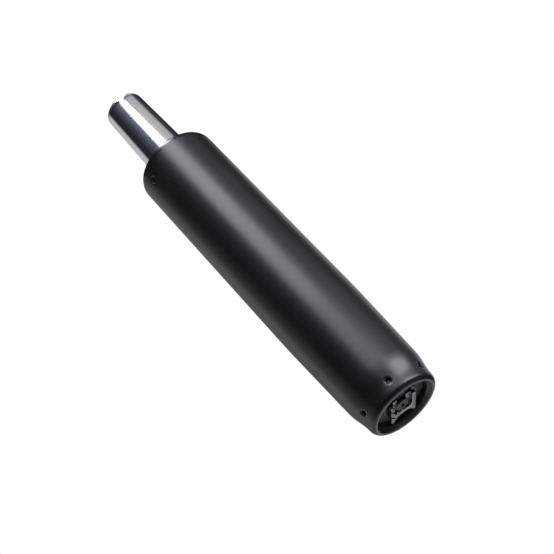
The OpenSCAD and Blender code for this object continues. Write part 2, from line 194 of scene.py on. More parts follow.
class Graph:
    """The node tree of one material or of the world."""

    def __init__(self, tree: bpy.types.NodeTree) -> None:
        """Empties the tree."""
        self.tree = tree
        self.tree.nodes.clear()

    def node(
        self,
        kind: str,
        settings: Optional[Settings] = None,
        inputs: Optional[Inputs] = None,
        output: Union[str, int] = 0,
    ) -> Optional[Wire]:
        """Adds any node.

        Args:
            kind: Blender's type name of the node.
            settings: properties that are set first; "stops" holds a ramp's places and values.
            inputs: numbers, colours or wires by socket name or number.
            output: socket that is returned.

        Returns:
            The wire of that output, or None for a node without outputs.
        """
        node = self.tree.nodes.new(kind)
        for name, value in (settings or {}).items():
            if name == "stops":
                self._stops(node.color_ramp, value)
            else:
                setattr(node, name, value)
        for key, value in (inputs or {}).items():
            if isinstance(value, Wire):
                self.tree.links.new(value.socket, node.inputs[key])
            else:
                node.inputs[key].default_value = value
        return Wire(self, node.outputs[output]) if len(node.outputs) else None

    @staticmethod
    def _stops(ramp: bpy.types.ColorRamp, stops: Sequence[tuple[float, Colour]]) -> None:
        """Sets the stops of a colour ramp."""
        while len(ramp.elements) < len(stops):
            ramp.elements.new(1.0)
        for element, (place, colour) in zip(ramp.elements, stops):
            element.position = place
            element.color = (*colour, 1.0)

    def vector(self, operation: str, *terms: Any, output: Union[str, int] = 0) -> Wire:
        """Adds a Vector Math node.

        Args:
            operation: name of the node's operation.
            terms: vectors or wires, in the order of its sockets.
            output: socket that is returned.

        Returns:
            The wire of that output.
        """
        return self.node("ShaderNodeVectorMath", {"operation": operation}, dict(enumerate(terms)), output)

    def mapped(self, where: Wire, **inputs: Point) -> Wire:
        """A vector that a Mapping node turns or scales."""
        return self.node("ShaderNodeMapping", {"vector_type": "POINT"}, {"Vector": where, **inputs})

    def place(self) -> Wire:
        """Object coordinates, in metres."""
        return self.node("ShaderNodeTexCoord", output="Object")

    def radius(self) -> Wire:
        """Distance from the lift axis, in metres."""
        flat = self.vector("MULTIPLY", self.place(), (1.0, 1.0, 0.0))
        return self.vector("LENGTH", flat, output="Value")

    def height(self) -> Wire:
        """Height above the foot, in metres."""
        return self.node("ShaderNodeSeparateXYZ", None, {"Vector": self.place()}, "Z")

    def along(self, where: Wire, axis: Sequence[float]) -> Wire:
        """Part of a vector along an axis."""
        return self.vector("DOT_PRODUCT", where, tuple(axis), output="Value")

    def noise(self, grain: Grain) -> Wire:
        """Cloudy noise of a layer, from 0 to 1."""
        where = self.mapped(self.place(), Scale=(1.0, 1.0, grain.stretch))
        inputs = {"Vector": where, "Scale": grain.per_mm / MM, "Detail": grain.detail, "Roughness": 0.55}
        return self.node("ShaderNodeTexNoise", None, inputs, "Fac")

    def mix(self, share: Term, first: Any, second: Any) -> Wire:
        """Blends two colours, with the share of the second."""
        return self.node("ShaderNodeMix", {"data_type": "RGBA"}, {0: share, 6: first, 7: second}, 2)

    def bump(self, grain: Grain, height: Wire) -> Wire:
        """Bump of a height pattern, as deep as a layer says."""
        inputs = {"Height": height, "Distance": grain.deep, "Strength": grain.strength}
        return self.node("ShaderNodeBump", None, inputs)

    def end(self, shader: Wire, kind: str = "Material") -> None:
        """Joins a shader to the output of a material or of the world."""
        self.node(f"ShaderNodeOutput{kind}", None, {"Surface": shader})

    def surface(self, **inputs: Any) -> None:
        """Ends the graph in a Principled surface.

        Args:
            inputs: its sockets, with underscores for the spaces in their names.
        """
        named = {name.replace("_", " "): value for name, value in inputs.items()}
        self.end(self.node("ShaderNodeBsdfPrincipled", None, named))


def new_material(name: str) -> tuple[bpy.types.Material, Graph]:
    """A material and its empty graph."""
    material = bpy.data.materials.new(name)
    material.use_nodes = True
    return material, Graph(material.node_tree)


def rgba(colour: Colour, gain: float = 1.0) -> tuple[float, float, float, float]:
    """A colour with full alpha, scaled by a gain."""
    return (*(min(1.0, channel * gain) for channel in colour), 1.0)


@dataclass(frozen=True)
class Finish:
    """A surface finish.

    Attributes:
        name: name of the material.
        colour: linear base colour.
        roughness: mean roughness.
    """

    name: str
    colour: Colour
    roughness: float

    def material(self) -> bpy.types.Material:
        """The finish's material, made once."""
        known = bpy.data.materials.get(self.name)
        if known is not None:
            return known
        material, graph = new_material(self.name)
        material.diffuse_color = rgba(self.colour)
        self.paint(graph)
        return material

    def paint(self, graph: Graph) -> None:
        """Draws the finish in its empty graph."""
        raise NotImplementedError


@dataclass(frozen=True)
class PowderCoat(Finish):
    """Satin powder coat with a fine orange peel, rubbed thin on the edge of the foot and painted lighter
    there as a highlight.

    Attributes:
        edge_r: radius inside which the coat is rubbed thin and painted lighter as a highlight, in metres.
        edge_z: height up to which it is rubbed, in metres.
        edge_fade: width over which the rubbing fades, in metres.
        edge: colour of the rubbed edge, which is also its painted highlight.
        inner_r: radius inside which the wall of the foot is painted lighter, as painted light on that
            wall, in metres.
        inner_z: height up to which it does, in metres.
        inner_fade: width over which that painted light fades, in metres.
        inner: colour of that wall, lighter than the coat as painted light.
        fade_z: height over which both fade, in metres.
        flow_z: height above which the paint has flowed out smooth, in metres.
        flow_l: length over which it does, in metres.
        flow: how much smoother it is there.
        dent: name of the mesh attribute that is 1 in a punched dent.
        pit_shade_gain: gain on the colour in a dent, which paints the shade of the pit.
        dent_rough: roughness that a dent adds.
        gains: gains on the colour in dark and in light clouds.
        clouds: clouds of the tone.
        streaks: streaks that break up the painted light on that wall.
        dust: specks of dust, which also break up the rubbed edge and its painted highlight.
        peel: the orange peel.
        dusty: share of the dust in the peel.
    """

    edge_r: float = 0.0
    edge_z: float = 0.0
    edge_fade: float = 0.2 * MM
    edge: Colour = (0.15, 0.15, 0.155)
    inner_r: float = 0.0
    inner_z: float = 0.0
    inner_fade: float = 0.1 * MM
    inner: Colour = (0.014, 0.014, 0.016)
    fade_z: float = 0.3 * MM
    flow_z: float = 1.0
    flow_l: float = 2.0 * MM
    flow: float = 0.1
    dent: str = "dent"
    pit_shade_gain: float = 0.4
    dent_rough: float = 0.6
    gains: Pair = (0.85, 1.2)
    clouds: Grain = Grain(0.035, rough=0.05)
    streaks: Grain = Grain(0.4, blend=(0.25, 0.65))
    dust: Grain = Grain(4.0, 1.0, rough=0.04, blend=(0.2, 0.6))
    peel: Grain = Grain(0.9, 1.0, deep=0.02 * MM, strength=0.3)
    dusty: float = 0.25

    def inside(self, graph: Graph, r: float, z: float, fade: float) -> Wire:
        """Mask of the paint inside a radius and below a height.

        Args:
            graph: graph of the paint.
            r: the radius.
            z: the height.
            fade: width over which the mask fades outside the radius.

        Returns:
            A wire from 0 to 1.
        """
        return graph.radius().ramp(r + fade, r) * graph.height().ramp(z, z - self.fade_z)

    def paint(self, graph: Graph) -> None:
        """Draws peel, cloudy tone, the rubbed edge with its painted highlight, the painted light on the
        wall inside the foot and the rougher floor of the dents, painted dark as the shade of the pits.
        """
        clouds, streaks, dust, peel = map(graph.noise, (self.clouds, self.streaks, self.dust, self.peel))
        dull_shaded_floor = graph.node("ShaderNodeAttribute", {"attribute_name": self.dent}, None, "Fac")
        dark, light = (rgba(self.colour, gain) for gain in self.gains)
        tone = graph.mix(self.clouds.share(clouds), dark, light)
        # Painted shade: the floor of a dent is painted darker, as the shade in a deep pit
        tone = graph.mix(dull_shaded_floor, tone, rgba(self.colour, self.pit_shade_gain))
        # Painted light: the wall inside the foot is painted lighter where light falls into the opening,
        # broken up by streaks
        lit_inner_wall = self.inside(graph, self.inner_r, self.inner_z, self.inner_fade)
        tone = graph.mix(lit_inner_wall * self.streaks.share(streaks), tone, rgba(self.inner))
        # The rubbed edge of the foot, painted lighter also as a highlight on the lip, broken up by dust
        worn_and_lit_edge = self.inside(graph, self.edge_r, self.edge_z, self.edge_fade) * self.dust.share(dust)
        flowed = graph.height().ramp(self.flow_z, self.flow_z + self.flow_l)
        rough = self.roughness + self.clouds.uneven(clouds) + self.dust.uneven(dust)
        graph.surface(
            Base_Color=graph.mix(worn_and_lit_edge, tone, rgba(self.edge)),
            # A metallic floor carries the dark painted shade of a pit into its reflection too
            Metallic=dull_shaded_floor,
            Roughness=rough + self.dent_rough * dull_shaded_floor - self.flow * flowed,
            Normal=graph.bump(self.peel, peel + self.dusty * dust),
        )


@dataclass(frozen=True)
class ChromePlate(Finish):
    """Polished chrome plate with faint polishing lines round the tube.

    Attributes:
        rim_z: height from which the rolled rim is less polished, in metres.
        rim_l: length over which the polish fades, in metres.
        rim_rough: roughness that the rim has more than the tube.
        lines: polishing lines.
        haze: clouds of faint haze.
        hazy: gain on the colour in the haze.
    """

    rim_z: float = 1.0
    rim_l: float = 2.0 * MM
    rim_rough: float = 0.25
    lines: Grain = Grain(0.02, 4.0, 90.0, rough=0.05, deep=0.002 * MM, strength=0.15, blend=(0.35, 0.75))
    haze: Grain = Grain(0.06, 2.0, rough=0.03, blend=(0.25, 0.75))
    hazy: float = 0.95

    def paint(self, graph: Graph) -> None:
        """Draws the plate, its lines and its rim."""
        rim = graph.height().ramp(self.rim_z, self.rim_z + self.rim_l)
        lines, haze = map(graph.noise, (self.lines, self.haze))
        rough = self.roughness + self.lines.rough * self.lines.share(lines) + self.haze.uneven(haze)
        graph.surface(
            Base_Color=graph.mix(self.haze.share(haze), rgba(self.colour, self.hazy), rgba(self.colour)),
            Metallic=1.0,
            Roughness=rough + self.rim_rough * rim,
            Normal=graph.bump(self.lines, lines),
        )


class Lay(Enum):
    """How tool marks run on a metal face."""

    TURNED = "rings round the axis"
    DRAWN = "lines along the axis"
    BLASTED = "even grain"


@dataclass(frozen=True)
class BareMetal(Finish):
    """Worked metal without a coat of paint.

    Attributes:
        lay: how the tool marks run.
        marks: how much they change the roughness.
        grain: turned rings or blasted grain.
        drawn: drawn lines.
        stain: darker tint of uneven plating or oil.
        stains: the places of that tint.
        black_r: radius inside which the rod is painted darker, which darkens its end, in metres.
        black_fade: width over which the black fades, in metres.
        black_gain: gain on the colour there.
    """

    lay: Lay = Lay.TURNED
    marks: float = 0.16
    grain: Grain = Grain(3.5, deep=0.008 * MM, strength=0.25)
    drawn: Grain = Grain(2.5, stretch=0.01, deep=0.008 * MM, strength=0.25)
    stain: float = 0.8
    stains: Grain = Grain(0.25, rough=0.1)
    black_r: float = 0.0
    black_fade: float = 0.2 * MM
    black_gain: float = 0.04

    def paint(self, graph: Graph) -> None:
        """Draws the metal, its tool marks and its uneven tint."""
        grain = replace(self.drawn if self.lay is Lay.DRAWN else self.grain, rough=self.marks)
        if self.lay is Lay.TURNED:
            rings = graph.node("ShaderNodeCombineXYZ", None, {"X": graph.radius(), "Z": graph.height()})
            inputs = {"Vector": rings, "Scale": grain.per_mm / MM, "Detail": grain.detail}
            marks = graph.node("ShaderNodeTexNoise", None, inputs, "Fac")
        else:
            marks = graph.noise(grain)
        stains = graph.noise(self.stains)
        tone = graph.mix(self.stains.share(stains), rgba(self.colour, self.stain), rgba(self.colour))
        # Inside black_r the rod is painted darker
        if self.black_r > 0.0:
            black = graph.radius().ramp(self.black_r, self.black_r - self.black_fade)
            tone = graph.mix(black, tone, rgba(self.colour, self.black_gain))
        graph.surface(
            Base_Color=tone,
            Metallic=1.0,
            Roughness=self.roughness + grain.uneven(marks) + self.stains.uneven(stains),
            Normal=graph.bump(grain, marks),
        )


@dataclass(frozen=True)
class Moulded(Finish):
    """Moulded plastic or rubber with a fine skin.

    Attributes:
        skin: the skin.
        clouds: clouds of the tone.
        gains: gains on the colour in dark and in light clouds.
    """

    skin: Grain = Grain(3.0, 2.0, rough=0.12, deep=0.02 * MM, strength=0.3)
    clouds: Grain = Grain(0.08)
    gains: Pair = (0.85, 1.1)

    def paint(self, graph: Graph) -> None:
        """Draws the skin and its cloudy tone."""
        skin, clouds = map(graph.noise, (self.skin, self.clouds))
        dark, light = (rgba(self.colour, gain) for gain in self.gains)
        graph.surface(
            Base_Color=graph.mix(self.clouds.share(clouds), dark, light),
            Roughness=self.roughness + self.skin.uneven(skin),
            Normal=graph.bump(self.skin, skin),
        )


def clamp(value: float) -> float:
    """A value held between 0 and 1."""
    return min(1.0, max(0.0, value))


@dataclass(frozen=True)
class Corner:
    """A corner of a turned half section or of a flat outline, in metres.

    Attributes:
        u: distance from the axis in a section, or x in an outline.
        v: height in a section, or y in an outline.
        rounding: radius of the corner.
        steps: segments of that rounding.
    """

    u: float
    v: float
    rounding: float = 0.0
    steps: int = 5


def mirrored(corners: Sequence[Corner]) -> list[Corner]:
    """The other half of an outline, which goes on from these corners."""
    return [replace(corner, u=-corner.u) for corner in reversed(corners)]


def draw_line(
    mesh: bmesh.types.BMesh,
    corners: Sequence[Corner],
    place: Callable[[Corner], Vector],
    closed: bool = True,
) -> None:
    """Draws a line with rounded corners.

    Args:
        mesh: bmesh that takes the edges.
        corners: the corners in order.
        place: gives a corner's point.
        closed: whether the last corner joins the first.
    """
    points = [place(corner) for corner in corners]
    verts = [mesh.verts.new(point) for point in points]
    for start, end in zip(verts, verts[1:] + verts[:1] if closed else verts[1:]):
        mesh.edges.new((start, end))
    for index, (corner, vert) in enumerate(zip(corners, verts)):
        if corner.rounding > 0.0:
            before = (points[index - 1] - points[index]).normalized()
            after = (points[(index + 1) % len(points)] - points[index]).normalized()
            offset = corner.rounding / math.tan(before.angle(after) / 2.0)
            bmesh.ops.bevel(
                mesh, geom=[vert], offset=offset, offset_type="OFFSET", segments=corner.steps,
                profile=0.5, affect="VERTICES", material=-1,
            )


class Lathe:
    """Turns a half section about the lift axis."""

    def __init__(self, corners: Sequence[Corner], closed: bool = True) -> None:
        """Draws the section, whose ends meet unless it starts and ends on the axis."""
        self.mesh = bmesh.new()
        draw_line(self.mesh, corners, lambda corner: Vector((corner.u, 0.0, corner.v)), closed)

    def refine(self, longest: float, low: float = -1.0, high: float = 1.0) -> "Lathe":
        """Cuts long edges of the section between two heights.

        Args:
            longest: longest edge that stays whole, in metres.
            low: lowest height of the edges.
            high: highest height of the edges.

        Returns:
            This lathe.
        """
        slack = 0.01 * MM
        edges = [
            edge for edge in self.mesh.edges
            if edge.calc_length() > longest
            and all(low - slack < vert.co.z < high + slack for vert in edge.verts)
        ]
        for edge in edges:
            cuts = math.ceil(edge.calc_length() / longest) - 1
            bmesh.ops.subdivide_edges(self.mesh, edges=[edge], cuts=cuts)
        return self

    def spin(self, steps: int) -> bmesh.types.BMesh:
        """Spins the section once round.

        Args:
            steps: faces round the axis.

        Returns:
            The closed turned mesh.
        """
        bmesh.ops.spin(
            self.mesh, geom=self.mesh.verts[:] + self.mesh.edges[:], cent=ORIGIN, axis=UP, dvec=ORIGIN,
            angle=math.tau, steps=steps, use_merge=True, use_duplicate=False,
        )
        bmesh.ops.remove_doubles(self.mesh, verts=self.mesh.verts[:], dist=MERGE)
        bmesh.ops.recalc_face_normals(self.mesh, faces=self.mesh.faces[:])
        return self.mesh


def verts_of(parts: Sequence[Any]) -> list[bmesh.types.BMVert]:
    """The points among what an operator has made."""
    return [part for part in parts if isinstance(part, bmesh.types.BMVert)]


def cut_sheet(
    mesh: bmesh.types.BMesh, corners: Sequence[Corner], low: float, high: float, edge: float
) -> None:
    """Cuts a flat outline out of a sheet and rounds its edges.

    Args:
        mesh: bmesh that takes the closed sheet.
        corners: the outline's corners in order.
        low: height of the lower face.
        high: height of the upper face.
        edge: radius of the edges.
    """
    sheet = bmesh.new()
    draw_line(sheet, corners, lambda corner: Vector((corner.u, corner.v, low)))
    face = bmesh.ops.contextual_create(sheet, geom=sheet.edges[:])["faces"][0]
    made = bmesh.ops.extrude_face_region(sheet, geom=[face], use_keep_orig=True)["geom"]
    bmesh.ops.translate(sheet, verts=verts_of(made), vec=(0.0, 0.0, high - low))
    bmesh.ops.recalc_face_normals(sheet, faces=sheet.faces[:])
    rims = [e for e in sheet.edges if abs(e.verts[0].co.z - e.verts[1].co.z) < 0.5 * (high - low)]
    bmesh.ops.bevel(
        sheet, geom=rims, offset=edge, offset_type="OFFSET", segments=4,
        profile=0.5, affect="EDGES", material=-1,
    )
    level, few = 0.99, 8
    flats = [f for f in sheet.faces if abs(f.normal.z) > level and len(f.verts) > few]
    bmesh.ops.inset_individual(sheet, faces=flats, thickness=0.5 * edge)
    spare = bpy.data.meshes.new("sheet")
    sheet.to_mesh(spare)
    sheet.free()
    mesh.from_mesh(spare)
    bpy.data.meshes.remove(spare)


def make_object(name: str, mesh: bmesh.types.BMesh, crease: float = CREASE) -> bpy.types.Object:
    """Turns a bmesh into a smooth object at the origin.

    Args:
        name: name of the object.
        mesh: the finished bmesh, which is freed.
        crease: angle in degrees above which an edge stays sharp.

    Returns:
        The linked object.
    """
    data = bpy.data.meshes.new(name)
    mesh.to_mesh(data)
    mesh.free()
    data.shade_smooth()
    data.set_sharp_from_angle(angle=math.radians(crease))
    made = bpy.data.objects.new(name, data)
    bpy.context.scene.collection.objects.link(made)
    return made


def dress(
    name: str,
    mesh: bmesh.types.BMesh,
    node: str,
    body: Body,
    finish: Finish,
    crease: float = CREASE,
) -> None:
    """Puts a finer piece in the place of a CAD node.

    Args:
        name: name of the piece.
        mesh: its finished bmesh, which is freed.
        node: CAD node that it stands for.
        body: body that it rides on.
        finish: finish of the piece.
        crease: angle in degrees above which an edge stays sharp.
    """
    piece = make_object(name, mesh, crease)
    piece.data.materials.append(finish.material())
    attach(piece, body.value)
    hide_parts(node)
    LOG.info("%s stands for %s on %s, %d faces", piece.name, node, body.value, len(piece.data.polygons))


def reach(node: str) -> tuple[float, float, float]:
    """Outer radius, lowest and highest point of a turned CAD node, in metres."""
    low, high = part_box(node)
    return max(high.x, high.y), low.z, high.z


@dataclass(frozen=True)
class DentRow:
    """A row of punched dents round the tube.

    Attributes:
        count: number of dents.
        turn: turn of the first of them, in degrees.
        z: height of their middles.
        r: radius of a dent on the surface.
        deep: depth of a dent.
        rim: width of the soft rim round a dent.
        dish: depth of the dish that the rim slopes down to.
        dull_shaded_floor: how rough its floor is, and how dark it is painted as the shade of the pit.
        flat: share of the radius that its flat floor takes.
    """

    count: int
    turn: float
    z: float
    r: float
    deep: float
    rim: float
    dish: float = 0.0
    dull_shaded_floor: float = 1.0
    flat: float = 0.6

    def depth(self, off: float) -> float:
        """Depth of a dent at a distance from its middle."""
        flat = self.flat * self.r
        outer = self.r if self.dish > 0.0 else self.r + self.rim
        share = clamp((off - flat) / (outer - flat))
        slope = clamp((off - self.r) / self.rim)
        return self.deep * (1.0 - share * share * (3.0 - 2.0 * share)) + self.dish * (1.0 - slope) ** 2


@dataclass
class ColumnTube:
    """The painted column tube with its tapers, foot, shoulder and punched dents.

    Attributes:
        finish: paint of the tube.
        wall: wall of the tube.
        taper: half angle of the base taper, in degrees.
        cone_l: length of the base taper.
        swage_l: length of the swaged end.
        swage_angle: half angle of the swaged end, in degrees.
        wave: height of the slight wave that swaging leaves.
        wave_steps: lines that the wave is drawn with.
        nose: radius of the nose above the foot.
        foot_cut: how far the foot plane cuts into the nose.
        lip_r: radius of the opening in the foot, inside its turned-in lip.
        lip_bevel: bevel inside that lip.
        shoulder: radius of the top shoulder.
        mouth_r: radius of the opening in the shoulder.
        edge: rounding of the sharp edges.
        lip_edges: rounding of the lip's edges, inside and on the foot plane.
        nose_fit: share of the nose that its rounding takes, so that its ends stay apart.
        swage_round: rounding between the swaged end and the taper.
        cone_round: rounding between the taper and the straight tube.
        foot_row: dents round the base plate.
        top_row: dents round the guide bush.
        dent_zone: height of the finer rings above and below the middle of a dent.
        dent_cell: longest edge of the section there.
        dent_margin: width round a dent and its rim that is cut finer.
        dent_cuts: cuts of each edge there.
        cell: longest edge of the section elsewhere.
        steps: faces round the tube.
        crease: angle in degrees above which an edge stays sharp.
    """

    finish: Finish
    wall: float = 2.0 * MM
    taper: float = 1.4378
    cone_l: float = 50.0 * MM
    swage_l: float = 19.0 * MM
    swage_angle: float = 8.0
    wave: float = 0.2 * MM
    wave_steps: int = 16
    nose: float = 3.5 * MM
    foot_cut: float = 0.3 * MM
    lip_r: float = 16.0 * MM
    lip_bevel: float = 2.4 * MM
    shoulder: float = 5.0 * MM
    mouth_r: float = 16.5 * MM
    edge: float = 0.25 * MM
    lip_edges: Pair = (0.3 * MM, 0.2 * MM)
    nose_fit: float = 0.999
    swage_round: float = 20.0 * MM
    cone_round: float = 300.0 * MM
    foot_row: DentRow = DentRow(6, 30.0, 8.0 * MM, 1.45 * MM, 1.5 * MM, 1.3 * MM, 0.4 * MM)
    top_row: DentRow = DentRow(3, 222.0, 203.0 * MM, 2.2 * MM, 0.9 * MM, 0.6 * MM, dull_shaded_floor=0.3)
    dent_zone: float = 3.8 * MM
    dent_cell: float = 0.6 * MM
    dent_margin: float = 0.6 * MM
    dent_cuts: int = 4
    cell: float = 2.5 * MM
    steps: int = 240
    crease: float = 50.0

    def __post_init__(self) -> None:
        """Takes the tube's radius and height from the frame."""
        self.tube_r, _, self.top = reach("outer_tube")
        self.cone_z = self.swage_l + self.cone_l
        self.swage_r = self.tube_r - self.cone_l * math.tan(math.radians(self.taper))

    def outer_r(self, z: float) -> float:
        """Radius of the outside at a height above the nose."""
        if z < self.swage_l:
            return self.swage_r - (self.swage_l - z) * math.tan(math.radians(self.swage_angle))
        return min(self.tube_r, self.swage_r + (z - self.swage_l) * math.tan(math.radians(self.taper)))

    def skin_r(self, z: float) -> float:
        """Radius of the outside with the wave of the swaged end."""
        share = clamp((z - self.nose) / (self.swage_l - self.nose))
        return self.outer_r(z) - self.wave * math.sin(math.tau * share)

    def swage(self) -> list[Corner]:
        """Corners along the outside of the swaged end."""
        rise = (self.swage_l - self.nose) / self.wave_steps
        heights = [self.nose + rise * step for step in range(self.wave_steps)]
        return [Corner(self.skin_r(z), z) for z in heights]

    def foot(self) -> list[Corner]:
        """Corners of the foot ring and of the nose that rises from it."""
        lean = math.radians(self.swage_angle)
        nose_z = self.nose - self.foot_cut
        rise = math.acos(nose_z / self.nose)
        ring_r = self.outer_r(nose_z) - self.nose / math.cos(lean) + self.nose * math.sin(rise)
        length = (self.outer_r(0.0) - ring_r) / (math.cos(rise) - math.sin(rise) * math.tan(lean))
        inside, below = self.lip_edges
        bend = self.nose_fit * self.nose
        return [
            Corner(self.lip_r, self.lip_bevel, inside, 3),
            Corner(self.lip_r + self.lip_bevel, 0.0, below, 3),
            Corner(ring_r, 0.0),
            Corner(ring_r + length * math.cos(rise), length * math.sin(rise), bend, 16),
        ]

    def section(self) -> list[Corner]:
        """Corners of the wall, up the outside and down the inside."""
        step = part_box("base_plate")[0].z
        bore = self.tube_r - self.wall
        return self.foot() + self.swage() + [
            Corner(self.swage_r, self.swage_l, self.swage_round, 4),
            Corner(self.tube_r, self.cone_z, self.cone_round, 6),
            Corner(self.tube_r, self.top, self.shoulder, 18),
            Corner(self.mouth_r, self.top, self.edge, 4),
            Corner(self.mouth_r, self.top - self.wall, self.edge, 4),
            Corner(bore, self.top - self.wall, self.shoulder - self.wall, 6),
            Corner(bore, self.cone_z),
            Corner(self.swage_r - self.wall, self.swage_l),
            Corner(self.outer_r(step) - self.wall, step),
            Corner(self.lip_r, step, self.edge, 3),
        ]

    def punch(self, mesh: bmesh.types.BMesh, row: DentRow, turn: float) -> None:
        """Presses one dent into the outside.

        Args:
            mesh: the turned tube.
            row: row of the dent.
            turn: turn of the dent, in degrees.
        """
        out = Vector((math.cos(math.radians(turn)), math.sin(math.radians(turn)), 0.0))
        place = out * self.skin_r(row.z) + Vector((0.0, 0.0, row.z))
        zone = row.r + row.rim + self.dent_margin
        faces = [
            face for face in mesh.faces
            if (face.calc_center_median() - place).length < zone and face.normal.dot(out) > 0.0
        ]
        edges = list({edge for face in faces for edge in face.edges})
        cut = bmesh.ops.subdivide_edges(mesh, edges=edges, cuts=self.dent_cuts, use_grid_fill=True)
        verts = set(verts_of(cut["geom"]))
        verts.update(v for face in faces if face.is_valid for v in face.verts)
        floor = mesh.verts.layers.float["dent"]
        for vert in verts:
            vert.co.xy = vert.co.xy.normalized() * self.skin_r(vert.co.z)
            away = vert.co - place
            depth = row.depth((away - away.dot(out) * out).length)
            vert.co -= out * depth
            # The floor is rougher, and painted dark as the shade of the pit, from half the depth on, and
            # not at all above a quarter of it
            vert[floor] = row.dull_shaded_floor * clamp(4.0 * depth / row.deep - 1.0)

    def build(self) -> None:
        """Turns, punches and paints the tube."""
        rows = (self.foot_row, self.top_row)
        lathe = Lathe(self.section()).refine(self.cell)
        for row in rows:
            lathe.refine(self.dent_cell, row.z - self.dent_zone, row.z + self.dent_zone)
        mesh = lathe.spin(self.steps)
        mesh.verts.layers.float.new("dent")
        for row in rows:
            for index in range(row.count):
                self.punch(mesh, row, row.turn + index * 360.0 / row.count)
        bmesh.ops.recalc_face_normals(mesh, faces=mesh.faces[:])
        dress("column_tube", mesh, "outer_tube", Body.COLUMN, self.finish, self.crease)


@dataclass
class GasCartridge:
    """The chromed pressure tube with its seat taper and rolled ends.

    Attributes:
        finish: plating of the tube.
        wall: wall of the tube.
        lip: thickness of the rolled ends.
        taper: half angle of the seat taper, in degrees.
        taper_l: length of the seat taper.
        tip: radius of the upper edge.
        tip_hole_r: radius of the opening in the upper end.
        foot_hole_r: radius of the opening in the lower end.
        edge: rounding of the openings' edges.
        inner_edge: rounding inside the rolled ends.
        foot_round: rounding of the lower edge.
        taper_round: rounding between the straight tube and the taper.
        cell: longest edge of the section.
        steps: faces round the tube.
    """

    finish: Finish
    wall: float = 1.5 * MM
    lip: float = 1.5 * MM
    taper: float = 1.4378
    taper_l: float = 58.0 * MM
    tip: float = 1.6 * MM
    tip_hole_r: float = 7.5 * MM
    foot_hole_r: float = 8.0 * MM
    edge: float = 0.35 * MM
    inner_edge: float = 0.5 * MM
    foot_round: float = 1.2 * MM
    taper_round: float = 400.0 * MM
    cell: float = 4.0 * MM
    steps: int = 192

    def build(self) -> None:
        """Turns and plates the tube."""
        r, low, high = reach("pressure_tube")
        slope = math.tan(math.radians(self.taper))
        start = high - self.taper_l
        tip_r = r - self.taper_l * slope
        section = [
            Corner(self.foot_hole_r, low, self.edge, 3),
            Corner(r, low, self.foot_round, 8),
            Corner(r, start, self.taper_round, 4),
            Corner(tip_r, high, self.tip, 10),
            Corner(self.tip_hole_r, high, self.edge, 4),
            Corner(self.tip_hole_r, high - self.lip, self.edge, 3),
            Corner(tip_r + self.lip * slope - self.wall, high - self.lip, self.inner_edge, 3),
            Corner(r - self.wall, start),
            Corner(r - self.wall, low + self.lip, self.inner_edge, 3),
            Corner(self.foot_hole_r, low + self.lip, self.edge, 3),
        ]
        mesh = Lathe(section).refine(self.cell).spin(self.steps)
        dress("chrome_tube", mesh, "pressure_tube", Body.CARTRIDGE, self.finish)


@dataclass
class ReleaseEnd:
    """The release pin and the cap that it stands in.

    Attributes:
        pin_finish: finish of the pin.
        cap_finish: finish of the cap.
        pin_r: radius of the pin.
        flange_l: length of the flange under the cap.
        flange_edge: rounding of the flange.
        bore_gap: radial gap round the pin.
        bore_edges: rounding of the cap's bore, below and above.
        edge: rounding of other edges.
        tip_l: length of the pin's slight taper at its end.
        tip_in: how much thinner its radius is there.
        tip_round: rounding where that taper starts.
        dome: rounding of the pin's crown.
        dimple_r: radius of the dimple in the crown.
        dimple_deep: depth of the dimple.
        pin_cell: longest edge of the pin's section.
        cap_cell: longest edge of the cap's section.
        steps: faces round both.
    """

    pin_finish: Finish
    cap_finish: Finish
    pin_r: float = 4.0 * MM
    flange_l: float = 4.0 * MM
    flange_edge: float = 0.3 * MM
    bore_gap: float = 0.08 * MM
    bore_edges: Pair = (0.15 * MM, 0.35 * MM)
    edge: float = 0.2 * MM
    tip_l: float = 1.6 * MM
    tip_in: float = 0.15 * MM
    tip_round: float = 6.0 * MM
    dome: float = 0.8 * MM
    dimple_r: float = 1.1 * MM
    dimple_deep: float = 0.45 * MM
    pin_cell: float = 1.5 * MM
    cap_cell: float = 1.0 * MM
    steps: int = 96

    def build(self) -> None:
        """Turns both pieces."""
        flange_r, low, high = reach("release_pin")
        flange_top = low + self.flange_l
        pin = [
            Corner(0.0, low),
            Corner(flange_r, low, self.flange_edge, 3),
            Corner(flange_r, flange_top, self.flange_edge, 3),
            Corner(self.pin_r, flange_top, self.edge, 3),
            Corner(self.pin_r, high - self.tip_l, self.tip_round, 4),
            Corner(self.pin_r - self.tip_in, high, self.dome, 6),
            Corner(self.dimple_r, high, self.edge, 3),
            Corner(0.0, high - self.dimple_deep),
        ]
        mesh = Lathe(pin, closed=False).refine(self.pin_cell).spin(self.steps)
        dress("release_button", mesh, "release_pin", Body.RELEASE, self.pin_finish)
        cap_r, cap_low, cap_high = reach("top_cap")
        bore = self.pin_r + self.bore_gap
        below, above = self.bore_edges
        cap = [
            Corner(bore, cap_low, below, 2),
            Corner(cap_r, cap_low, self.edge, 2),
            Corner(cap_r, cap_high, self.edge, 2),
            Corner(bore, cap_high, above, 4),
        ]
        mesh = Lathe(cap).refine(self.cap_cell).spin(self.steps)
        dress("cap_washer", mesh, "top_cap", Body.CARTRIDGE, self.cap_finish)


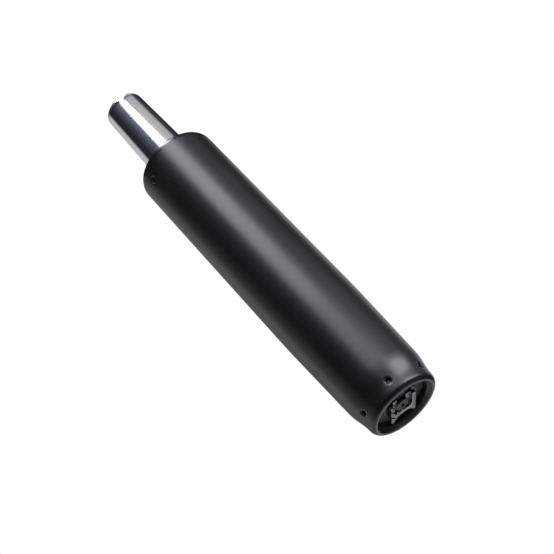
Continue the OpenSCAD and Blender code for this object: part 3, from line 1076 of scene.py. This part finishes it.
@dataclass
class RodFoot:
    """What shows in the opening of the foot: the end of the rod, its washer and its clip.

    Attributes:
        rod_finish: finish of the rod.
        washer_finish: finish of the washer.
        clip_finish: finish of the clip.
        rod_r: radius of the rod.
        spigot_r: radius of the spigot through the base plate.
        groove_r: radius of the clip groove.
        upper_r: radius of the spigot through the piston.
        upper_edge: rounding of that spigot's end.
        spigot_edge: rounding of the lower spigot's end.
        groove_edge: rounding of the groove and of the centre hole.
        edge: rounding of the rod's shoulders and of the washer.
        hole_deep: depth of the centre hole.
        hole_r: radius of its floor.
        hole_mouth_r: radius of its mouth.
        rod_cell: longest edge of the rod's section.
        end_cell: longest edge of its lower end, up to the groove.
        rod_steps: faces round the rod.
        washer_cell: longest edge of the washer's section.
        washer_steps: faces round the washer.
        fit: radial gap of seated pieces.
        clip_w: width over both rails of the clip.
        rail_w: width of a rail.
        web_y: distance of the web between the rails from the axis.
        near_l: reach of the rails towards the mouth of the slot.
        far_l: reach of the rails on the closed side.
        near_rounds: rounding of a rail's end at the mouth, inside and outside.
        far_rounds: rounding of a rail's end on the closed side, inside and outside.
        toe: how much thinner a rail is there.
        rail_edge: rounding of the rails' upper and lower edges.
        overlap: share of the tongue's thickness that the rails take up.
        tongue_t: thickness of the tongue in the groove.
        tongue_l: reach of the tongue towards the mouth of the slot.
        tongue_round: rounding of the tongue's corners.
        tongue_edge: rounding of its upper and lower edges.
        arch_y: distance of the arch in the closed side from the axis.
        arch_in: how much narrower than the rails the arch is on each side.
        arch_round: rounding of the arch.
        clip_turn: turn of the clip on the rod, in degrees.
        notches: places of the slanting notches along the left rail.
        notch_w: width of a notch.
        notch_deep: depth of a notch.
        notch_run: direction along a notch, seen from above.
    """

    rod_finish: Finish
    washer_finish: Finish
    clip_finish: Finish
    rod_r: float = 5.0 * MM
    spigot_r: float = 4.0 * MM
    groove_r: float = 2.8 * MM
    upper_r: float = 3.5 * MM
    upper_edge: float = 0.4 * MM
    spigot_edge: float = 0.5 * MM
    groove_edge: float = 0.1 * MM
    edge: float = 0.2 * MM
    hole_deep: float = 1.1 * MM
    hole_r: float = 0.5 * MM
    hole_mouth_r: float = 1.3 * MM
    rod_cell: float = 6.0 * MM
    end_cell: float = 0.8 * MM
    rod_steps: int = 96
    washer_cell: float = 1.2 * MM
    washer_steps: int = 128
    fit: float = 0.05 * MM
    clip_w: float = 16.4 * MM
    rail_w: float = 2.5 * MM
    web_y: float = 4.4 * MM
    near_l: float = 6.4 * MM
    far_l: float = 10.8 * MM
    near_rounds: Pair = (0.8 * MM, 1.2 * MM)
    far_rounds: Pair = (0.6 * MM, 1.0 * MM)
    toe: float = 0.4 * MM
    rail_edge: float = 0.75 * MM
    overlap: float = 0.4
    tongue_t: float = 1.0 * MM
    tongue_l: float = 6.0 * MM
    tongue_round: float = 0.6 * MM
    tongue_edge: float = 0.15 * MM
    arch_y: float = 6.8 * MM
    arch_in: float = 1.3 * MM
    arch_round: float = 5.0 * MM
    clip_turn: float = 12.0
    notches: tuple[float, ...] = (-5.1 * MM, -0.2 * MM, 5.1 * MM)
    notch_w: float = 0.9 * MM
    notch_deep: float = 1.0 * MM
    notch_run: Point = (0.657, 0.754, 0.0)

    def rod(self) -> None:
        """Turns the rod with its centre hole, clip groove and shoulders."""
        _, low, high = reach("piston_rod")
        groove_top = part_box("retaining_clip")[1].z
        groove_low = groove_top - self.tongue_t
        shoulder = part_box("upper_race")[1].z
        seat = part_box("piston")[0].z
        section = [
            Corner(0.0, low + self.hole_deep),
            Corner(self.hole_r, low + self.hole_deep),
            Corner(self.hole_mouth_r, low, self.groove_edge, 2),
            Corner(self.spigot_r, low, self.spigot_edge, 4),
            Corner(self.spigot_r, groove_low - self.fit, self.groove_edge, 2),
            Corner(self.groove_r, groove_low - self.fit),
            Corner(self.groove_r, groove_top + self.fit),
            Corner(self.spigot_r, groove_top + self.fit, self.groove_edge, 2),
            Corner(self.spigot_r, shoulder),
            Corner(self.rod_r, shoulder, self.edge, 2),
            Corner(self.rod_r, seat, self.edge, 2),
            Corner(self.upper_r, seat),
            Corner(self.upper_r, high, self.upper_edge, 3),
            Corner(0.0, high),
        ]
        lathe = Lathe(section, closed=False).refine(self.rod_cell)
        mesh = lathe.refine(self.end_cell, low, groove_top).spin(self.rod_steps)
        dress("ground_rod", mesh, "piston_rod", Body.ROD, self.rod_finish)

    def washer(self) -> None:
        """Turns the washer under the base plate."""
        r, low, high = reach("end_washer")
        bore = self.spigot_r + self.fit
        corners = ((bore, low), (r, low), (r, high), (bore, high))
        section = [Corner(u, v, self.edge, 3) for u, v in corners]
        mesh = Lathe(section).refine(self.washer_cell).spin(self.washer_steps)
        dress("rod_washer", mesh, "end_washer", Body.ROD, self.washer_finish)

    def notch(self, mesh: bmesh.types.BMesh) -> None:
        """Cuts the slanting notches into the left rail.

        Args:
            mesh: the rails, not yet turned.
        """
        run = Vector(self.notch_run)
        across = Vector((run.y, -run.x, 0.0))
        downward = -0.2
        middle = Vector(((self.rail_w - self.clip_w) / 2.0, 0.0, 0.0))
        for along in self.notches:
            place = middle + Vector((0.0, along, 0.0))
            cuts = [(place + across * (side * self.notch_w), across) for side in (-0.5, 0.5)]
            cuts.append((middle + Vector((self.rail_w / 2.0, 0.0, 0.0)), Vector((1.0, 0.0, 0.0))))
            for point, normal in cuts:
                bmesh.ops.bisect_plane(
                    mesh, geom=mesh.verts[:] + mesh.edges[:] + mesh.faces[:], dist=MERGE,
                    plane_co=point, plane_no=normal,
                )
            floor = [
                face for face in mesh.faces
                if face.normal.z < downward
                and abs((face.calc_center_median() - place).dot(across)) < 0.5 * self.notch_w
                and abs(face.calc_center_median().x - middle.x) < 0.5 * self.rail_w
            ]
            edges = list({edge for face in floor for edge in face.edges})
            made = bmesh.ops.extrude_face_region(mesh, geom=floor + edges)["geom"]
            bmesh.ops.translate(mesh, verts=verts_of(made), vec=(0.0, 0.0, self.notch_deep))
        bmesh.ops.recalc_face_normals(mesh, faces=mesh.faces[:])

    def clip(self) -> None:
        """Cuts the rails and the tongue of the clip."""
        low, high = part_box("retaining_clip")
        side, bore = self.clip_w / 2.0, self.clip_w / 2.0 - self.rail_w
        slot = self.groove_r + self.fit
        near_in, near_out = self.near_rounds
        far_in, far_out = self.far_rounds
        rail = [
            Corner(bore, self.web_y, bore / 2.0, 10),
            Corner(bore, -self.near_l, near_in),
            Corner(side, -self.near_l, near_out),
            Corner(side, self.far_l, far_out),
            Corner(bore + self.toe, self.far_l, far_in, 4),
            Corner(bore - self.arch_in, self.arch_y, self.arch_round, 10),
        ]
        wide, back = side - self.tongue_t, self.web_y + self.tongue_t
        arm = [
            Corner(slot, slot, slot, 10),
            Corner(slot, -self.tongue_l, self.tongue_round, 3),
            Corner(wide, -self.tongue_l, self.tongue_round, 3),
            Corner(wide, back, self.tongue_round, 3),
        ]
        mesh = bmesh.new()
        tongue = high.z - self.tongue_t
        rail_top = tongue + self.overlap * self.tongue_t
        cut_sheet(mesh, rail + mirrored(rail), low.z, rail_top, self.rail_edge)
        self.notch(mesh)
        cut_sheet(mesh, arm + mirrored(arm), tongue, high.z, self.tongue_edge)
        turn = Matrix.Rotation(math.radians(self.clip_turn), 3, "Z")
        bmesh.ops.rotate(mesh, verts=mesh.verts[:], cent=ORIGIN, matrix=turn)
        dress("spring_clip", mesh, "retaining_clip", Body.ROD, self.clip_finish)

    def build(self) -> None:
        """Builds the pieces in the foot."""
        self.rod()
        self.washer()
        self.clip()


# Below this brightness a zone of the dome turns bluer, at most by these shares of red, green and blue
COOL_BELOW = 0.4
COOL_TINT = (-0.22, -0.1, 0.2)


class Zone(Enum):
    """Zones round the dome: turn from the camera in degrees, and brightness."""

    REAR_LEFT = (-180.0, 0.50)
    LEFT_WALL = (-108.0, 0.54)
    LEFT_FLAG = (-92.0, 0.02)
    FLAG_FACE = (-60.0, 0.025)
    FLAG_EDGE = (-34.0, 0.07)
    HALF_TONE = (-12.0, 0.16)
    BOX_FRAME = (-2.0, 0.16)
    FRAME_END = (44.0, 0.16)
    RIGHT_WALL = (49.0, 0.52)
    WALL_END = (88.0, 0.48)
    RIGHT_FLAG = (107.0, 0.06)
    FLAG_BACK = (156.0, 0.035)
    REAR_RIGHT = (168.0, 0.60)
    REAR = (180.0, 0.50)

    def tint(self) -> Colour:
        """Colour of the zone, bluer where it is dark."""
        grey = self.value[1]
        cool = max(0.0, 1.0 - grey / COOL_BELOW)
        return tuple(grey * (1.0 + change * cool) for change in COOL_TINT)


class Glow(Enum):
    """Soft patches on the dome.

    Each has its turn from the camera, elevation, half width and half height in degrees, the share of
    these that its soft edge takes, and how much it adds to the brightness.
    """

    SOFTBOX = (21.0, 31.75, 18.0, 9.75, 0.12, 2.8)
    BOX_MIDDLE = (21.0, 35.0, 17.6, 6.5, 0.2, 0.8)
    BOX_HEAD = (21.0, 38.5, 17.0, 3.0, 0.2, 10.0)
    BOX_TOP = (21.0, 44.5, 15.8, 3.0, 0.12, 1.25)
    BOX_HALO = (28.0, 32.0, 24.0, 11.0, 0.4, 0.75)
    BOX_SPILL = (31.0, 10.0, 24.0, 13.0, 0.5, 1.6)
    STRIP = (26.0, 62.0, 9.0, 11.0, 0.25, 12.0)
    OVERHEAD = (60.0, 80.0, 9.0, 8.0, 0.4, 12.0)
    LOW_SPOT = (64.0, -1.0, 22.0, 8.0, 0.4, 11.5)
    LEFT_SPILL = (-98.0, 3.0, 24.0, 30.0, 0.25, 0.4)
    RIGHT_SPILL = (116.0, 6.0, 14.0, 18.0, 0.4, 0.15)
    RIGHT_RIM = (150.0, 21.0, 14.0, 16.5, 0.15, 0.9)
    GROUND = (180.0, -75.0, 30.0, 18.0, 0.25, 1.5)


class Shade(Enum):
    """Darker places of the dome, given as the soft patches are, with the share that they take away."""

    REAR = (180.0, 10.0, 38.0, 24.0, 0.3, 0.45)
    REAR_HEAD = (162.0, 51.0, 20.0, 9.0, 0.3, 0.75)
    RIGHT_WALL = (82.0, 31.0, 20.0, 6.0, 0.3, 0.35)
    NEAR_FLOOR = (20.0, -45.0, 72.0, 32.0, 0.2, 0.88)


class Lamp(Enum):
    """Soft lamps: turn from the camera, elevation, width, height in metres, and brightness."""

    KEY = (21.0, 44.0, 0.61, 0.72, 4.3)
    BACK = (170.0, 35.0, 0.40, 0.80, 0.9)


@dataclass
class Studio:
    """Camera, floor, dome, lamps and world.

    Attributes:
        camera_place: camera position, in metres.
        azimuth: camera azimuth, in degrees, where 0 looks along +Y.
        elevation: camera elevation, in degrees; the photograph looks up at the foot.
        roll: camera roll, in degrees.
        lens: focal length, in millimetres.
        sensor: width of the sensor, in millimetres.
        near_clip: distance from which the camera sees, in metres.
        floor_half: half the floor's side, in metres.
        floor_near: distance at which the floor starts to fade, in metres.
        paper: colour of the floor.
        dome_r: radius of the dome that reflections show, in metres.
        ceiling: elevation above which the dome is dark, in degrees.
        ceiling_soft: half the height of that soft edge, in degrees.
        ceiling_colour: colour of the dark part.
        cast: colour of the soft patches.
        front: how far a direction has to point to a patch, as its cosine, to see none or all of it.
        lamp_away: distance of the lamps from the middle of the object.
        fill: strength of the world's fill light.
        fill_colour: colour of that light.
    """

    camera_place: Point = (-0.07324, -0.55394, -0.22253)
    azimuth: float = -7.30
    elevation: float = -30.66
    roll: float = 43.18
    lens: float = 75.64
    sensor: float = 36.0
    near_clip: float = 0.01
    floor_half: float = 3.0
    floor_near: float = 0.3
    paper: Colour = (0.86, 0.86, 0.86)
    dome_r: float = 3.5
    ceiling: float = 47.5
    ceiling_soft: float = 2.0
    ceiling_colour: Colour = (0.014, 0.016, 0.02)
    cast: Colour = (0.96, 0.97, 1.07)
    front: Pair = (0.0, 0.1)
    lamp_away: float = 1.0
    fill: float = 0.45
    fill_colour: Colour = (0.95, 0.97, 1.0)

    def facing(self) -> float:
        """Turn about Z, in degrees from +X, of the direction to the camera."""
        return self.azimuth - 90.0

    def camera(self) -> None:
        """Places the camera at the photograph's view."""
        right, up, back = self.axes(0.0, self.elevation)
        turn = Matrix.Rotation(-math.radians(self.roll), 3, back)
        data = bpy.data.cameras.new("photo_camera")
        data.lens = self.lens
        data.sensor_width = self.sensor
        data.clip_start = self.near_clip
        axes = (turn @ right, turn @ up, back)
        bpy.context.scene.camera = self.hang(data, Vector(self.camera_place), axes)

    @staticmethod
    def hang(data: bpy.types.ID, place: Vector, axes: Sequence[Vector]) -> bpy.types.Object:
        """Adds a camera or lamp to the scene.

        Args:
            data: the camera or lamp.
            place: where it hangs, in metres.
            axes: its directions right, up and back.

        Returns:
            The linked object.
        """
        made = bpy.data.objects.new(data.name, data)
        made.matrix_world = Matrix.Translation(place) @ Matrix(axes).transposed().to_4x4()
        bpy.context.scene.collection.objects.link(made)
        return made

    def set_piece(self, name: str, mesh: bmesh.types.BMesh) -> tuple[bpy.types.Object, Graph]:
        """Makes a piece of the set, which is not part of the object.

        Args:
            name: name of the piece and its material.
            mesh: its bmesh.

        Returns:
            The object and the empty graph of its material.
        """
        made = make_object(name, mesh)
        material, graph = new_material(name)
        made.data.materials.append(material)
        made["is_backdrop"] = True
        return made, graph

    def floor(self) -> None:
        """Lays a pale floor that fades into the white, and is clear from below."""
        mesh = bmesh.new()
        bmesh.ops.create_grid(mesh, x_segments=1, y_segments=1, size=self.floor_half)
        _, graph = self.set_piece("floor_paper", mesh)
        seen = graph.node("ShaderNodeLightPath", output="Is Camera Ray")
        under = graph.node("ShaderNodeNewGeometry", output="Backfacing")
        paper = graph.node("ShaderNodeBsdfDiffuse", None, {"Color": rgba(self.paper)})
        clear = graph.node("ShaderNodeBsdfTransparent")
        near = graph.radius().ramp(self.floor_half, self.floor_near)
        share = seen * (1.0 - under) * near
        graph.end(graph.node("ShaderNodeMixShader", None, {0: share, 1: clear, 2: paper}))

    def middle(self) -> Vector:
        """Middle of the object."""
        return (Vector(CAD_BOX[0]) + Vector(CAD_BOX[1])) / 2.0

    def axes(self, turn: float, rise: float) -> tuple[Vector, Vector, Vector]:
        """Directions of a place on the dome.

        Args:
            turn: turn from the camera, in degrees.
            rise: elevation, in degrees.

        Returns:
            The directions across it, up it and out to it.
        """
        a, e = math.radians(self.facing() + turn), math.radians(rise)
        across = Vector((-math.sin(a), math.cos(a), 0.0))
        out = Vector((math.cos(a) * math.cos(e), math.sin(a) * math.cos(e), math.sin(e)))
        return across, out.cross(across), out

    def patch(self, graph: Graph, glow: Union[Glow, Shade], where: Wire) -> Wire:
        """Strength of a soft patch on the dome.

        Args:
            graph: graph of the dome.
            glow: which patch.
            where: direction from the middle of the object.

        Returns:
            The wire of the strength.
        """
        turn, rise, half_w, half_h, soft, bright = glow.value
        across, up, out = self.axes(turn, rise)
        share = graph.along(where, out).ramp(*self.front)
        for axis, half in ((across, half_w), (up, half_h)):
            inner, outer = (math.sin(math.radians(half * (1.0 + side * soft))) for side in (-1.0, 1.0))
            share = share * graph.along(where, axis).size().ramp(outer, inner)
        return share * bright

    def dome(self) -> None:
        """Hangs the dome of walls, flags and soft boxes, which only reflections show."""
        mesh = bmesh.new()
        bmesh.ops.create_uvsphere(mesh, u_segments=64, v_segments=32, radius=self.dome_r)
        bmesh.ops.translate(mesh, verts=mesh.verts[:], vec=self.middle())
        made, graph = self.set_piece("dome", mesh)
        for ray in ("camera", "diffuse", "shadow", "transmission"):
            setattr(made, f"visible_{ray}", False)
        where = graph.vector("NORMALIZE", graph.vector("SUBTRACT", graph.place(), tuple(self.middle())))
        turned = graph.mapped(where, Rotation=(0.0, 0.0, -math.radians(self.facing())))
        radial = {"gradient_type": "RADIAL"}
        round_it = graph.node("ShaderNodeTexGradient", radial, {"Vector": turned}, "Fac")
        stops = [((zone.value[0] + 180.0) / 360.0, zone.tint()) for zone in Zone]
        tone = graph.node("ShaderNodeValToRGB", {"stops": stops}, {"Fac": round_it}, "Color")
        soft = self.ceiling_soft
        edge = [math.sin(math.radians(self.ceiling + side)) for side in (-soft, soft)]
        tone = graph.mix(graph.along(where, UP).ramp(*edge), tone, rgba(self.ceiling_colour))
        for shade in Shade:
            tone = graph.mix(self.patch(graph, shade, where), tone, (0.0, 0.0, 0.0, 1.0))
        light = sum((self.patch(graph, glow, where) for glow in Glow), start=0.0)
        colour = graph.vector("MULTIPLY_ADD", light, self.cast, tone)
        graph.end(graph.node("ShaderNodeEmission", None, {"Color": colour, "Strength": 1.0}))

    def lamp(self, lamp: Lamp) -> None:
        """Hangs a soft rectangular lamp that faces the middle of the object.

        Args:
            lamp: which lamp.
        """
        turn, rise, width, height, bright = lamp.value
        across, up, out = self.axes(turn, rise)
        data = bpy.data.lights.new(lamp.name.lower(), "AREA")
        data.shape = "RECTANGLE"
        data.size, data.size_y = width, height
        data.energy = bright * math.pi * width * height
        made = self.hang(data, self.middle() + out * self.lamp_away, (across, up, out))
        made.visible_camera = made.visible_glossy = False

    def world(self) -> None:
        """Makes the world white to the eye and in reflections, and a mild fill light."""
        world = bpy.data.worlds.new("studio")
        world.use_nodes = True
        graph = Graph(world.node_tree)
        seen = graph.node("ShaderNodeLightPath", output="Is Camera Ray")
        for kind in ("Glossy", "Transmission"):
            seen = seen.larger(graph.node("ShaderNodeLightPath", output=f"Is {kind} Ray"))
        dim = {"Color": rgba(self.fill_colour), "Strength": self.fill}
        fill = graph.node("ShaderNodeBackground", None, dim)
        white = graph.node("ShaderNodeBackground", None, {"Color": (1.0, 1.0, 1.0, 1.0), "Strength": 1.0})
        graph.end(graph.node("ShaderNodeMixShader", None, {0: seen, 1: fill, 2: white}), "World")
        bpy.context.scene.world = world

    def build(self) -> None:
        """Sets up the whole studio."""
        self.camera()
        self.floor()
        self.dome()
        for lamp in Lamp:
            self.lamp(lamp)
        self.world()
        bpy.context.scene.view_settings.view_transform = "Standard"


def write_sizes() -> None:
    """Turns the CAD box and the dressed box into plain lists; it writes nothing."""
    boxes = {"cad": CAD_BOX, "visual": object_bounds()}
    plain = {name: [[float(value) for value in corner] for corner in box] for name, box in boxes.items()}


def main() -> None:
    """Builds and dresses every piece of the lift."""
    logging.basicConfig(level=logging.INFO, format="%(name)s: %(message)s")
    coat = PowderCoat(
        "powder_coat", (0.0055, 0.0055, 0.007), 0.34, edge_r=19.4 * MM, edge_z=0.3 * MM,
        inner_r=18.6 * MM, inner_z=6.0 * MM, flow_z=209.5 * MM,
    )
    chrome = ChromePlate("chrome_plate", (0.86, 0.87, 0.89), 0.09, rim_z=271.6 * MM)
    steel = BareMetal("ground_steel", (0.62, 0.63, 0.65), 0.22)
    smooth = replace(Moulded.skin, strength=0.15)
    coarse = replace(Moulded.skin, per_mm=2.0, strength=0.5)
    finishes = {
        "tube_paint": coat,
        "chrome": chrome,
        "plate_black": PowderCoat("black_oxide", (0.012, 0.012, 0.013), 0.5),
        "rod_steel": steel,
        "bearing_steel": BareMetal("bearing_steel", (0.7, 0.71, 0.73), 0.15, marks=0.08),
        "spring_steel": BareMetal("zinc_plate", (0.3, 0.31, 0.32), 0.3, Lay.BLASTED, stain=0.7),
        "washer_steel": BareMetal("dark_zinc", (0.09, 0.09, 0.095), 0.38),
        "guide_plastic": Moulded("black_plastic", (0.02, 0.02, 0.021), 0.45),
        "white_plastic": Moulded("natural_plastic", (0.78, 0.77, 0.71), 0.42, smooth),
        "wear_plastic": Moulded("wear_plastic", (0.34, 0.22, 0.11), 0.5),
        "rubber": Moulded("black_rubber", (0.016, 0.016, 0.016), 0.7, coarse),
        "brass": BareMetal("turned_brass", (0.78, 0.6, 0.3), 0.26),
        "aluminium": BareMetal("drawn_aluminium", (0.74, 0.75, 0.77), 0.34, Lay.DRAWN),
    }
    for part in frame["record"]["subparts"]:
        materials = frame["nodes"][part["node"]].data.materials
        materials.clear()
        materials.append(finishes[part["material_slot"]].material())
        LOG.info("%s is finished in %s", part["node"], part["material_slot"])
    ColumnTube(coat).build()
    GasCartridge(chrome).build()
    ReleaseEnd(steel, finishes["washer_steel"]).build()
    rod_end = replace(steel, name="rod_end", black_r=3.9 * MM)
    RodFoot(rod_end, finishes["washer_steel"], finishes["spring_steel"]).build()
    Studio().build()
    write_sizes()


if __name__ == "__main__":
    main()
